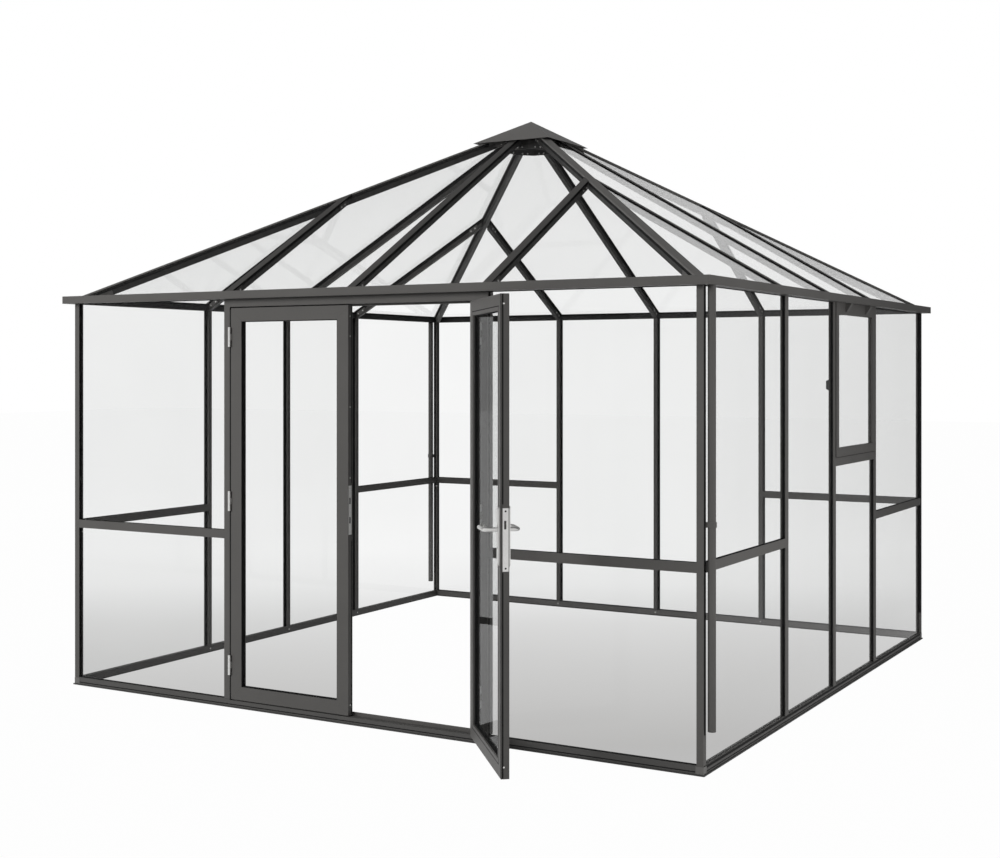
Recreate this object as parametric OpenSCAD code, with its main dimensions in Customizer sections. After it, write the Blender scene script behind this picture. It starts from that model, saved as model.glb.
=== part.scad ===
// Square glass garden pavilion with a pyramid roof, a double door and one vent window.
// Millimetres, Z up, origin on the ground at the middle of the plan, door wall towards -Y.

/* [Overall] */
// Width and depth of the square plan, over the corner posts
side = 3520; // [2900:10:4400]
// Underside of the gutters above the ground
eave_z = 1992; // [1850:2:2300]
// Pitch of the four roof slopes, in degrees
pitch = 30; // [24:1:36]

/* [Wall frame] */
// Depth of the wall frame and size of the square corner posts
wall_d = 30; // [26:1:40]
// Width of the glazing bars between the panes, in the walls and on the roof
bar_w = 30; // [28:1:36]
// Width of the cover strips on the glazing bars
cover_w = 44; // [38:1:52]
// Thickness of the cover strips and of the posts' face plates
cover_t = 3; // [2:0.5:4]
// Distance of the outer glazing bars from the middle of each wall
bar_spacing = 735; // [600:5:850]
// Height of the base sills
sill_h = 40; // [34:1:60]
// How far the base frame stands out from the walls
flange_out = 6; // [4:1:15]
// Thickness of the base frame
flange_h = 6; // [4:1:10]
// Middle of the horizontal rails in the wide bays, above the ground
rail_z = 843; // [600:1:1100]
// Height of the horizontal rails
rail_h = 42; // [34:1:60]

/* [Glass] */
// Thickness of all panes
glass_t = 4; // [3:0.5:6]
// Outer face of the glass behind the outer face of the wall
glass_set = 11; // [9:1:13]
// Play between a pane and each side of its groove
glass_play = 0.4; // [0.2:0.1:0.8]
// Depth of the glazing grooves
groove_d = 9; // [8:0.5:10]

/* [Gutter] */
// How far the gutters stand out from the walls
gutter_out = 45; // [38:1:90]
// Height of the outer lip of the gutters
gutter_h = 38; // [32:1:60]
// Wall thickness of the gutters
gutter_wall = 3; // [2:0.5:5]

/* [Roof] */
// Top of the roof bars over the outer face of the wall, above the underside of the gutters
roof_rise = 33; // [30:1:60]
// How far the roof bars and panes reach out past the walls
roof_reach = 4; // [0:1:8]
// Outer face of the roof glass below the top of the roof bars
glass_drop = 6; // [6:1:12]
// Depth of the roof bars below the glass
roof_web = 34; // [20:1:50]
// Width of the four hip bars
hip_w = 44; // [38:1:70]
// Depth of the hip bars below their top edge
hip_d = 60; // [48:1:90]
// Distance of the flats of the crown ring from the middle
hub_r = 130; // [100:1:180]
// Height of the crown ring
hub_h = 86; // [70:1:120]
// Wall thickness of the crown ring
hub_wall = 6; // [4:0.5:10]
// Half the width of the sheet cap over the crown
cap_half = 240; // [200:1:300]
// Height of the cap above the roof bars, left open for air
cap_gap = 15; // [12:1:30]
// Sheet thickness of the cap
cap_t = 2.5; // [1.5:0.5:4]

/* [Door] */
// Width of the door jambs
jamb_w = 35; // [28:1:50]
// Height of the door header
header_h = 38; // [32:1:60]
// Height of the sill in the doorway
door_sill = 34; // [26:1:34]
// Gap between a leaf and the jamb beside it
leaf_gap = 8; // [6:0.5:12]
// Gap over and under the leaves
leaf_play = 6; // [5.5:0.5:10]
// Thickness of the leaves
leaf_t = 34; // [28:1:36]
// Width of the stiles and rails of the leaves
leaf_m = 65; // [50:1:90]
// How far the right leaf stands open, in degrees
right_open = 131; // [0:0.5:160]
// Middle of the lowest hinge above the bottom of the leaf
hinge_low = 167; // [100:1:260]
// Middle of the highest hinge below the top of the leaf
hinge_high = 141; // [100:1:260]
// Height of one hinge
hinge_h = 96; // [60:1:120]
// Diameter of the hinge barrels
hinge_d = 14; // [10:0.5:15]

/* [Lock] */
// Height of the lever handles above the ground
handle_z = 1018; // [900:1:1100]
// Length of the lock's edge plate
lock_plate_h = 249; // [160:1:280]
// Length of the handle plates
handle_plate_h = 240; // [160:1:260]
// Width of the handle plates
handle_plate_w = 30; // [24:1:36]
// Reach of the outer lever from its plate
lever_out = 44; // [40:1:60]
// Reach of the inner lever from its plate
lever_in = 62; // [44:1:75]
// Length of a lever from its axis
lever_l = 118; // [90:1:140]
// Diameter of a lever
lever_d = 17; // [13:0.5:20]

/* [Vent window] */
// Underside of the fixed rail under the vent window
vent_z = 1155; // [1000:1:1400]
// Width of the members of the window sash
sash_m = 46; // [36:1:60]
// Thickness of the window sash
sash_t = 26; // [24:1:30]
// Gap around the window sash
sash_gap = 3; // [1:0.5:6]

/* [Downpipes] */
// Diameter of the downpipes
pipe_d = 34; // [28:1:36]
// Distance of a downpipe from the wall's end
pipe_inset = 36; // [30:1:60]
// Lower end of the front downpipe above the ground
front_pipe_z = 177; // [60:1:300]
// Lower end of the back downpipe above the ground
back_pipe_z = 104; // [60:1:300]
// Height of the pipe clips above the ground
clip_z = 1007; // [500:1:1400]

/* [Hidden] */
half = side / 2;
inner = half - wall_d;
tan_p = tan(pitch);
cos_p = cos(pitch);

// Glazing groove, measured inwards from the outer face of a wall
groove_a = glass_set - glass_play;
groove_b = glass_set + glass_t + glass_play;
groove_w = groove_b - groove_a;
neck_w = bar_w - 2 * groove_d;
bite = groove_d - 2;
web_trim = 2;
bar_edge = bar_w / 2 - web_trim;
post_return = 6;
sill_bevel = 3;
sill_line_z = 12;
sill_line_h = 5;
sill_line_d = 2;
sill_seal_z = 29;
sill_seal_h = 8;
sill_seal_d = 3;

// Roof planes, measured downwards from the top of the roof bars
roof_z = eave_z + roof_rise;
roof_top = roof_z + half * tan_p;
roof_r = half + roof_reach;
roof_groove_a = glass_drop - glass_play;
roof_groove_b = glass_drop + glass_t + glass_play;
roof_bar_d = roof_groove_b + roof_web;
slope_l = half / cos_p;
overrun = 300;

// Hip bars: fall along the hip, and fall of the glass to each side of it
hip_fall = atan(tan_p / sqrt(2));
hip_side = asin(sin(pitch) / sqrt(2));
hip_neck = 16;
hip_top = 6;
hip_edge_play = 1.5;
hip_web_top = 32;
hip_web_foot = 24;
hub_top = roof_z + (half - hub_r) * tan_p;
hub_play = 1;
tab_w = 40;
cap_apex = roof_top + cap_gap;
cap_under = cap_apex - cap_t / cos_p;

// Door frame and leaves
jamb_past = 14;
door_half = bar_spacing + jamb_past;
door_clear = door_half - jamb_w;
header_z = eave_z - header_h;
stop_v = leaf_t + leaf_play;
stop_t = 6;
stop_out = 10;
stop_up = 16;
meet_half = 4;
leaf_w = door_clear - leaf_gap - meet_half;
leaf_z = door_sill + leaf_play;
leaf_h = header_z - leaf_play - leaf_z;
leaf_glass_v = (leaf_t - glass_t) / 2;
mitre_gap = 0.2;
pivot_x = door_clear - leaf_gap / 2;
pivot_out = hinge_d / 2 + 1;
pivot_y = -half - pivot_out;
hinge_zs = [leaf_z + hinge_low, leaf_z + (leaf_h + hinge_low - hinge_high) / 2, leaf_z + leaf_h - hinge_high];
knuckle_gap = 0.5;
pin_d = 6;
pin_play = 0.3;
lug_t = 4;
lug_w = 7.5;

// Lock and handles, on the right leaf in its closed place
lock_t = 3;
lock_w = 24;
lock_v = 3;
edge_line_v = 28;
edge_line_w = 2.5;
edge_line_d = 4;
lock_top = handle_z + 86;
lock_screw_d = 5;
lock_screw_in = 12;
latch_z = handle_z + 20;
latch_w = 9;
latch_h = 32;
strike_z = handle_z - 138;
strike_h = 228;
strike_hole_w = 11;
strike_hole_h = 30;
strike_holes = [52, 142];
handle_x = meet_half + leaf_m / 2;
handle_plate_t = 8;
handle_plate_up = 92;
key_drop = 72;
key_d = 11;
spindle_d = 12;
lever_turn_r = 16;
lever_return = 6;
spindle_play = 0.5;

// Vent window in the third bay of the right wall
vent_u = bar_w / 2;
vent_w = bar_spacing - bar_w;
sash_out = 4;
sash_room = 4;
sash_z = vent_z + rail_h + sash_gap;
sash_w = vent_w - 2 * sash_gap;
sash_head = 14;
sash_h = eave_z - sash_head - sash_z;
sash_glass_v = (sash_t - glass_t) / 2;
vent_hinge_w = 34;
vent_hinge_t = 6;
vent_hinge_out = 30;
vent_hinge_h = 46;
vent_hinge_in = 170;
catch_w = 22;
catch_h = 55;
catch_d = 14;
catch_z = sash_z + 342;

// Downpipes
pipe_wall = 2;
pipe_u = half - pipe_inset;
pipe_v = gutter_out / 2;
clip_t = 3;
clip_h = 22;
clip_lug = 14;
clip_play = 0.3;

frame_grey = [0.30, 0.30, 0.295];
cap_grey = [0.36, 0.36, 0.355];
glass_tint = [0.86, 0.90, 0.89, 0.30];
steel = [0.80, 0.80, 0.78];

// Extrudes a profile along +X, its own x turned inwards (+Y) and its own y upwards
module along_x(len) rotate([90, 0, 90]) linear_extrude(len) children();

// Extrudes a profile along +Y, its own x kept and its own y upwards
module along_y(len) translate([0, len, 0]) rotate([90, 0, 0]) linear_extrude(len) children();

// Places a piece on wall i (front, right, back, left): x along the wall, y inwards from its outer face
module on_wall(i) rotate([0, 0, 90 * i]) translate([0, -half, 0]) children();

// Places a piece on the front slope: x along the eave, y up the slope, z out of the roof bars' top plane
module on_slope() translate([0, -half, roof_z]) rotate([pitch, 0, 0]) children();

// Upright prism over a plan outline, from height z to well over the roof
module over_plan(z) translate([0, 0, z]) linear_extrude(roof_top + overrun) children();

// Body of a glazing profile, w between the panes: neck and inner lips
module glazing_body(w) {
    translate([-w / 2 + groove_d, cover_t])
        square([w - 2 * groove_d, wall_d - cover_t]);
    translate([-w / 2 + web_trim, groove_b])
        square([w - 2 * web_trim, wall_d - groove_b]);
}

// Cover strip of a glazing profile, over the outer seals of the panes
module glazing_cover(w) translate([-w / 2, 0]) square([w, cover_t]);

// Flat frame on the ground, under the sills and posts
module base_frame() {
    color(frame_grey)
        linear_extrude(flange_h)
            difference() {
                square(side + 2 * flange_out, center = true);
                square(2 * inner, center = true);
            }
}

// Base sill: shadow line, bevelled edge and the groove for the glass; side walls have a seal channel too
module sill_profile(seal) {
    difference() {
        polygon([[0, flange_h], [wall_d, flange_h], [wall_d, sill_h], [sill_bevel, sill_h],
            [0, sill_h - sill_bevel]]);
        translate([groove_a, sill_h - groove_d])
            square([groove_w, groove_d + 1]);
        translate([-1, sill_line_z])
            square([1 + sill_line_d, sill_line_h]);
        if (seal)
            translate([-1, sill_seal_z])
                square([1 + sill_seal_d, sill_seal_h]);
    }
}

module base_sills() {
    color(frame_grey)
        for (i = [0:3])
            on_wall(i)
                difference() {
                    translate([-inner, 0, 0])
                        along_x(2 * inner)
                            sill_profile(i % 2 == 1);
                    if (i == 0)
                        translate([-door_clear, -1, door_sill])
                            cube([2 * door_clear, wall_d + 2, sill_h]);
                }
}

// Square corner post: face plate to the front or back, open seal channel to the side
module post_profile() {
    difference() {
        square(wall_d);
        translate([wall_d - groove_d, cover_t])
            square([groove_d + 1, groove_b - cover_t]);
        translate([-1, post_return])
            square([1 + groove_a, wall_d]);
        translate([0, wall_d - groove_d])
            square([groove_b, groove_d + 1]);
    }
}

module corner_posts() {
    color(frame_grey)
        for (x = [0, 1], y = [0, 1])
            mirror([x, 0, 0])
                mirror([0, y, 0])
                    translate([-half, -half, flange_h])
                        linear_extrude(eave_z - flange_h)
                            post_profile();
}

// Three bars of one wall; beside the vent window their cover strips make room for the sash
module wall_bars(i) {
    color(frame_grey)
        on_wall(i)
            difference() {
                for (u = [-bar_spacing, 0, bar_spacing])
                    translate([u, 0, sill_h])
                        linear_extrude(eave_z - sill_h) {
                            glazing_body(bar_w);
                            glazing_cover(cover_w);
                        }
                if (i == 1)
                    translate([vent_u - sash_room, -1, vent_z + rail_h])
                        cube([vent_w + 2 * sash_room, 1 + cover_t, eave_z]);
            }
}

// Level rail at height z: its body from ua to ub, its cover strip from ca to cb
module rail(ua, ub, ca, cb, z) {
    translate([ua, 0, z])
        along_x(ub - ua)
            mirror([1, -1, 0])
                glazing_body(rail_h);
    translate([ca, 0, z])
        along_x(cb - ca)
            mirror([1, -1, 0])
                glazing_cover(rail_h);
}

// One rail in each wide bay; on the door wall the bays end at the jambs
module mid_rails() {
    color(frame_grey)
        for (i = [0:3], s = [0, 1])
            on_wall(i)
                mirror([s, 0, 0])
                    if (i == 0)
                        rail(-inner, -door_half, -inner, -door_half, rail_z);
                    else
                        rail(-inner, -bar_spacing - bar_edge, -inner, -bar_spacing - cover_w / 2, rail_z);
}

// Eave beam with the glass groove under it and the open trough in front of it
module gutter_profile() {
    outer = -gutter_out;
    lip = gutter_wall - gutter_out;
    turn = lip + 1.5 * gutter_wall;
    low = roof_rise - roof_groove_b / cos_p;
    difference() {
        polygon([[outer, 0], [wall_d, 0], [wall_d, low + wall_d * tan_p], [0, low], [0, gutter_wall],
            [lip, gutter_wall], [lip, gutter_h - gutter_wall], [turn, gutter_h - gutter_wall],
            [turn, gutter_h], [outer, gutter_h]]);
        translate([groove_a, -1])
            square([groove_w, groove_d + 1]);
    }
}

module gutter(i) {
    reach = half + gutter_out;
    color(frame_grey)
        on_wall(i)
            intersection() {
                translate([-reach, 0, eave_z])
                    along_x(2 * reach)
                        gutter_profile();
                over_plan(0)
                    polygon([[-reach, -gutter_out], [reach, -gutter_out], [inner, wall_d], [-inner, wall_d]]);
            }
}

// Cover strip of a roof bar, over the outer seals, and the neck between two panes
module roof_bar_cap() {
    translate([-cover_w / 2, -cover_t])
        square([cover_w, cover_t]);
    translate([-neck_w / 2, -roof_groove_b])
        square([neck_w, roof_groove_b]);
}

// Lower part of a roof bar, under the glass
module roof_bar_web() {
    translate([-bar_w / 2 + web_trim, -roof_bar_d])
        square([bar_w - 2 * web_trim, roof_web]);
}

// Plan outline of a roof bar at u, from radius r at the eave up to the hip or the crown ring
module roof_bar_plan(u, r) {
    a = u - bar_w;
    b = u + bar_w;
    hip_off = hip_w / sqrt(2);
    if (u == 0)
        polygon([[a, -r], [b, -r], [b, -hub_r], [a, -hub_r]]);
    else
        mirror([u > 0 ? 1 : 0, 0, 0])
            polygon([[-abs(u) - bar_w, -r], [-abs(u) + bar_w, -r],
                [-abs(u) + bar_w, -abs(u) + bar_w - hip_off], [-abs(u) - bar_w, -abs(u) - bar_w - hip_off]]);
}

module roof_bars(i) {
    color(frame_grey)
        rotate([0, 0, 90 * i])
            for (u = [-bar_spacing, 0, bar_spacing]) {
                intersection() {
                    on_slope()
                        translate([u, -overrun, 0])
                            along_y(slope_l + overrun)
                                roof_bar_cap();
                    over_plan(eave_z)
                        roof_bar_plan(u, roof_r);
                }
                intersection() {
                    on_slope()
                        translate([u, -overrun, 0])
                            along_y(slope_l + overrun)
                                roof_bar_web();
                    over_plan(eave_z)
                        roof_bar_plan(u, inner);
                }
            }
}

// Places a piece on the front right hip: x down the hip, y level across it
module on_hip() translate([0, 0, roof_top]) rotate([0, 0, -45]) rotate([0, hip_fall, 0]) children();

// Height of a plane that lies d under the roof bars' top, at c from the middle of the hip
function under_hip(c, d) = -d / cos(hip_side) - c * tan(hip_side);

module hip_cap() {
    w = hip_w / 2;
    n = hip_neck / 2;
    a = roof_groove_a;
    b = roof_groove_b;
    polygon([[-w, -hip_top], [w, -hip_top], [w, under_hip(w, a)], [n, under_hip(n, a)], [n, under_hip(n, b)],
        [0, under_hip(0, b)], [-n, under_hip(n, b)], [-n, under_hip(n, a)], [-w, under_hip(w, a)]]);
}

module hip_web() {
    t = hip_web_top / 2;
    f = hip_web_foot / 2;
    b = roof_groove_b;
    polygon([[0, under_hip(0, b)], [t, under_hip(t, b)], [f, -hip_d], [-f, -hip_d], [-t, under_hip(t, b)]]);
}

// Plan outline of the front right hip, out to radius r
module hip_plan(r) {
    k = hub_r / sqrt(2);
    w = hip_w;
    polygon([[k - w, -k - w], [r - w, -r], [r, -r], [r, w - r], [k + w, w - k]]);
}

module hip_bars() {
    color(frame_grey)
        for (i = [0:3])
            rotate([0, 0, 90 * i]) {
                intersection() {
                    on_hip()
                        along_x(2 * half)
                            hip_cap();
                    over_plan(eave_z)
                        hip_plan(roof_r);
                }
                intersection() {
                    on_hip()
                        along_x(2 * half)
                            hip_web();
                    over_plan(eave_z)
                        hip_plan(inner);
                }
            }
}

// Pyramid with the roof's pitch, its apex at height z and half as wide as w
module roof_pyramid(z, w) {
    intersection_for(a = [0, 90])
        rotate([0, 0, a])
            translate([0, -w, 0])
                along_y(2 * w)
                    polygon([[-w, z - w * tan_p], [w, z - w * tan_p], [0, z]]);
}

module octagon(apothem) rotate(22.5) circle(r = apothem / cos(22.5), $fn = 8);

// Eight-sided ring that takes the ends of the hips and middle bars, with four tabs under the cap
module crown_ring() {
    color(frame_grey) {
        translate([0, 0, hub_top - hub_h])
            linear_extrude(hub_h)
                difference() {
                    octagon(hub_r);
                    octagon(hub_r - hub_wall);
                }
        intersection() {
            translate([0, 0, hub_top - 1])
                linear_extrude(overrun)
                    for (a = [0:90:270])
                        rotate(a)
                            translate([hub_r - hub_wall, -tab_w / 2])
                                square([hub_wall, tab_w]);
            roof_pyramid(cap_under, cap_half);
        }
    }
}

module roof_cap() {
    color(cap_grey)
        difference() {
            roof_pyramid(cap_apex, cap_half);
            roof_pyramid(cap_under, cap_half);
        }
}

// Pane that closes the sight opening from (ua, za) to (ub, zb) and bites into the grooves around it
module pane(ua, ub, za, zb) {
    translate([ua - bite, glass_set, za - bite])
        cube([ub - ua + 2 * bite, glass_t, zb - za + 2 * bite]);
}

module wide_bay_panes(bay_end) {
    for (s = [0, 1])
        mirror([s, 0, 0]) {
            pane(-inner, -bay_end, sill_h, rail_z - rail_h / 2);
            pane(-inner, -bay_end, rail_z + rail_h / 2, eave_z);
        }
}

module wall_glass(i) {
    near = bar_w / 2;
    far = bar_spacing - bar_w / 2;
    color(glass_tint)
        on_wall(i) {
            wide_bay_panes(i == 0 ? door_half : bar_spacing + bar_w / 2);
            if (i > 0)
                pane(-far, -near, sill_h, eave_z);
            if (i > 0)
                pane(near, far, sill_h, i == 1 ? vent_z : eave_z);
        }
}

// Four panes of one slope: two beside the middle bar, and two in the corners under the hips
module roof_glass(i) {
    m = neck_w / 2 + 1;
    b = bar_spacing;
    h = (hip_neck / 2 + hip_edge_play) * sqrt(2);
    r = hub_r + hub_play;
    color(glass_tint)
        rotate([0, 0, 90 * i])
            intersection() {
                on_slope()
                    translate([-half, -overrun, -glass_drop - glass_t])
                        cube([side, slope_l + overrun, glass_t]);
                over_plan(eave_z)
                    for (s = [0, 1])
                        mirror([s, 0, 0]) {
                            polygon([[-m, -roof_r], [-m, -r], [h - r, -r], [m - b, m - b - h],
                                [m - b, -roof_r]]);
                            polygon([[-m - b, -roof_r], [-m - b, -m - b - h], [h - roof_r, -roof_r]]);
                        }
            }
}

// Jamb with the groove for the bay's glass and the stop behind the leaf
module jamb_profile() {
    difference() {
        polygon([[-door_half, 0], [-door_clear, 0], [-door_clear, stop_v], [stop_out - door_clear, stop_v],
            [stop_out - door_clear, stop_v + stop_t], [-door_half, stop_v + stop_t]]);
        translate([-door_half - 1, groove_a])
            square([groove_d + 1, groove_w]);
    }
}

module door_jambs() {
    color(frame_grey)
        on_wall(0)
            for (s = [0, 1])
                mirror([s, 0, 0])
                    translate([0, 0, sill_h])
                        linear_extrude(header_z - sill_h)
                            jamb_profile();
}

module door_header() {
    color(frame_grey)
        on_wall(0) {
            difference() {
                translate([-door_half, 0, header_z])
                    cube([2 * door_half, stop_v + stop_t, header_h]);
                for (s = [0, 1])
                    mirror([s, 0, 0])
                        translate([-door_half - 1, groove_a, header_z - 1])
                            cube([groove_d + 1, groove_w, header_h + 2]);
            }
            translate([stop_out - door_clear, stop_v, header_z - stop_out])
                cube([2 * (door_clear - stop_out), stop_t, stop_out + 1]);
        }
}

// Strip behind the sill in the doorway, with the stop for the leaves
module door_threshold() {
    color(frame_grey)
        on_wall(0) {
            translate([-door_clear, wall_d, 0])
                cube([2 * door_clear, stop_v + stop_t - wall_d, door_sill]);
            translate([stop_out - door_clear, stop_v, door_sill - 1])
                cube([2 * (door_clear - stop_out), stop_t, stop_up + 1]);
        }
}

// Frame of four mitred members with a glazing pocket, from the origin along +X and +Z, t deep
module mitred_frame(w, h, m, t, glass_v) {
    g = mitre_gap;
    difference() {
        translate([0, t, 0])
            rotate([90, 0, 0])
                linear_extrude(t) {
                    polygon([[0, g], [m, m + g], [m, h - m - g], [0, h - g]]);
                    polygon([[w, g], [w - m, m + g], [w - m, h - m - g], [w, h - g]]);
                    polygon([[g, 0], [w - g, 0], [w - m - g, m], [m + g, m]]);
                    polygon([[g, h], [w - g, h], [w - m - g, h - m], [m + g, h - m]]);
                }
        translate([m - groove_d, glass_v - glass_play, m - groove_d])
            cube([w - 2 * (m - groove_d), glass_t + 2 * glass_play, h - 2 * (m - groove_d)]);
    }
}

module frame_glass(w, h, m, glass_v) {
    e = m - bite;
    translate([e, glass_v, e])
        cube([w - 2 * e, glass_t, h - 2 * e]);
}

// Places a piece in the closed left leaf's corner, or mirrored in the right leaf's
module on_leaf() translate([-door_clear + leaf_gap, -half, leaf_z]) children();

// Swings the right leaf from closed to the angle it stands at
module swing_right() {
    translate([pivot_x, pivot_y, 0])
        rotate([0, 0, right_open])
            translate([-pivot_x, -pivot_y, 0])
                children();
}

// Three knuckles on one pin; the jamb has the outer two and the pin, the leaf the middle one
module hinge_barrel(part) {
    k = hinge_h / 3;
    if (part == "jamb") {
        for (z = [-hinge_h / 2, hinge_h / 2 - k])
            translate([0, 0, z]) {
                cylinder(d = hinge_d, h = k, $fn = 32);
                translate([-lug_w, pivot_out - lug_t, 0])
                    cube([lug_w, lug_t, k]);
            }
        translate([0, 0, -hinge_h / 2])
            cylinder(d = pin_d, h = hinge_h, $fn = 24);
    } else {
        translate([0, 0, knuckle_gap - k / 2])
            difference() {
                union() {
                    cylinder(d = hinge_d, h = k - 2 * knuckle_gap, $fn = 32);
                    translate([0, pivot_out - lug_t, 0])
                        cube([lug_w, lug_t, k - 2 * knuckle_gap]);
                }
                translate([0, 0, -1])
                    cylinder(d = pin_d + 2 * pin_play, h = k + 2, $fn = 24);
            }
    }
}

module hinges(part) {
    for (z = hinge_zs)
        translate([-pivot_x, pivot_y, z])
            hinge_barrel(part);
}

module jamb_hinges() {
    color(steel)
        for (s = [0, 1])
            mirror([s, 0, 0])
                hinges("jamb");
}

module left_leaf_hinges() color(steel) hinges("leaf");

module right_leaf_hinges() color(steel) swing_right() mirror([1, 0, 0]) hinges("leaf");

// Edge plate with two square holes, or with a latch slot, and a screw hole at each end
module edge_plate(h, slots) {
    difference() {
        cube([lock_t, lock_w, h]);
        for (s = slots)
            translate([-1, (lock_w - s[1]) / 2, s[0]])
                cube([lock_t + 2, s[1], s[2]]);
        for (z = [lock_screw_in, h - lock_screw_in])
            translate([-1, lock_w / 2, z])
                rotate([0, 90, 0])
                    cylinder(d = lock_screw_d, h = lock_t + 2, $fn = 20);
    }
}

module strike_plate() {
    color(steel)
        translate([-meet_half - lock_t, lock_v - half, strike_z])
            edge_plate(strike_h, [for (z = strike_holes) [z, strike_hole_w, strike_hole_h]]);
}

module lock_plate() {
    foot = lock_top - lock_plate_h;
    color(steel)
        swing_right()
            translate([meet_half, lock_v - half, foot])
                edge_plate(lock_plate_h, [[latch_z - foot - latch_h / 2, latch_w, latch_h]]);
}

// Frame of one leaf, with a seal groove down its meeting edge
module leaf_frame() {
    difference() {
        mitred_frame(leaf_w, leaf_h, leaf_m, leaf_t, leaf_glass_v);
        translate([leaf_w - edge_line_d, edge_line_v, -1])
            cube([edge_line_d + 1, edge_line_w, leaf_h + 2]);
    }
}

module left_leaf_frame() {
    color(frame_grey)
        difference() {
            on_leaf()
                leaf_frame();
            translate([-meet_half - lock_t, lock_v - half, strike_z])
                cube([lock_t + 1, lock_w, strike_h]);
        }
}

module left_leaf_glass() color(glass_tint) on_leaf() frame_glass(leaf_w, leaf_h, leaf_m, leaf_glass_v);

// Axis of the levers, through the closed right leaf
module on_handle() translate([handle_x, -half, handle_z]) rotate([-90, 0, 0]) children();

module right_leaf_frame() {
    color(frame_grey)
        swing_right()
            difference() {
                mirror([1, 0, 0])
                    on_leaf()
                        leaf_frame();
                translate([meet_half - 1, lock_v - half, lock_top - lock_plate_h])
                    cube([lock_t + 1, lock_w, lock_plate_h]);
                on_handle()
                    translate([0, 0, -1])
                        cylinder(d = spindle_d + 2 * spindle_play, h = leaf_t + 2, $fn = 32);
            }
}

module right_leaf_glass() {
    color(glass_tint)
        swing_right()
            mirror([1, 0, 0])
                on_leaf()
                    frame_glass(leaf_w, leaf_h, leaf_m, leaf_glass_v);
}

// Long rounded plate with the holes for the spindle and the key
module handle_plate() {
    r = handle_plate_w / 2;
    linear_extrude(handle_plate_t)
        difference() {
            union() {
                for (y = [handle_plate_h - handle_plate_up - r, r - handle_plate_up])
                    translate([0, y])
                        circle(r = r, $fn = 48);
                translate([-r, r - handle_plate_up])
                    square([handle_plate_w, handle_plate_h - handle_plate_w]);
            }
            circle(d = spindle_d + 2 * spindle_play, $fn = 32);
            translate([0, key_drop])
                circle(d = key_d, $fn = 32);
        }
}

module handle_plates() {
    color(steel)
        swing_right()
            on_handle()
                for (z = [-handle_plate_t, leaf_t])
                    translate([0, 0, z])
                        handle_plate();
}

// Quarter bend of a lever, from +X round to +Z
module lever_bend() {
    rotate([90, 0, 0])
        rotate_extrude(angle = 90, $fn = 64)
            translate([lever_turn_r, 0])
                circle(d = lever_d, $fn = 40);
}

// Lever from the face of its plate: neck, bend, bar towards the hinge, bend and a short return
module lever(out) {
    r = lever_d / 2;
    b = lever_turn_r;
    reach = out - r;
    tip = reach - b - lever_return;
    cylinder(r = r, h = reach - b, $fn = 40);
    translate([b, 0, reach - b])
        mirror([1, 0, 0])
            lever_bend();
    translate([b, 0, reach])
        rotate([0, 90, 0])
            cylinder(r = r, h = lever_l - 2 * b, $fn = 40);
    translate([lever_l - b, 0, reach - b])
        lever_bend();
    translate([lever_l, 0, tip])
        cylinder(r = r, h = lever_return, $fn = 40);
    translate([lever_l, 0, tip])
        sphere(r = r, $fn = 40);
}

// Both levers turn together on one spindle through the lock
module lever_handles() {
    face = handle_plate_t + spindle_play;
    color(steel)
        swing_right()
            on_handle() {
                translate([0, 0, leaf_t + face])
                    lever(lever_in);
                translate([0, 0, -face])
                    mirror([0, 0, 1])
                        lever(lever_out);
                translate([0, 0, -face - 1])
                    cylinder(d = spindle_d, h = leaf_t + 2 * face + 2, $fn = 32);
            }
}

module vent_transom() {
    c = cover_w / 2;
    color(frame_grey)
        on_wall(1)
            rail(bar_edge, bar_spacing - bar_edge, c, bar_spacing - c, vent_z + rail_h / 2);
}

module on_sash() on_wall(1) translate([vent_u + sash_gap, -sash_out, sash_z]) children();

module vent_sash() color(frame_grey) on_sash() mitred_frame(sash_w, sash_h, sash_m, sash_t, sash_glass_v);

module vent_glass() color(glass_tint) on_sash() frame_glass(sash_w, sash_h, sash_m, sash_glass_v);

// Hinge rail over the sash, and two raked arms from the underside of the gutter to the sash's face
module vent_hinges() {
    color(frame_grey)
        on_sash() {
            translate([0, 0, sash_h])
                cube([sash_w, sash_t, sash_head]);
            for (u = [vent_hinge_in, sash_w - vent_hinge_in])
                translate([u - vent_hinge_w / 2, 0, sash_h + sash_head - vent_hinge_h])
                    along_x(vent_hinge_w)
                        polygon([[0, 0], [0, vent_hinge_h], [-vent_hinge_out, vent_hinge_h],
                            [-vent_hinge_out, vent_hinge_h - vent_hinge_t], [-vent_hinge_t, 0]]);
        }
}

// Catch of the window, on the inner face of the bar beside it
module vent_catch() {
    color(frame_grey)
        on_wall(1)
            translate([-catch_w / 2, wall_d, catch_z])
                along_x(catch_w)
                    polygon([[0, 0], [catch_d, catch_d / 2], [catch_d, catch_h - catch_d / 2], [0, catch_h]]);
}

module downpipe(foot) {
    translate([half + pipe_v, -pipe_u, foot])
        linear_extrude(eave_z - foot)
            difference() {
                circle(d = pipe_d, $fn = 48);
                circle(d = pipe_d - 2 * pipe_wall, $fn = 48);
            }
}

module downpipes() {
    color(frame_grey) {
        downpipe(front_pipe_z);
        rotate([0, 0, 180])
            downpipe(back_pipe_z);
    }
}

// Ring around each downpipe with a foot in the seal channel of the corner post
module pipe_clips() {
    bore = pipe_d + 2 * clip_play;
    color(frame_grey)
        for (a = [0, 180])
            rotate([0, 0, a])
                translate([half + pipe_v, -pipe_u, clip_z])
                    linear_extrude(clip_h)
                        difference() {
                            union() {
                                circle(d = bore + 2 * clip_t, $fn = 48);
                                translate([-pipe_v - groove_a, pipe_u - inner - clip_lug])
                                    square([pipe_v + groove_a, clip_lug]);
                            }
                            circle(d = bore, $fn = 48);
                        }
}

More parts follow.
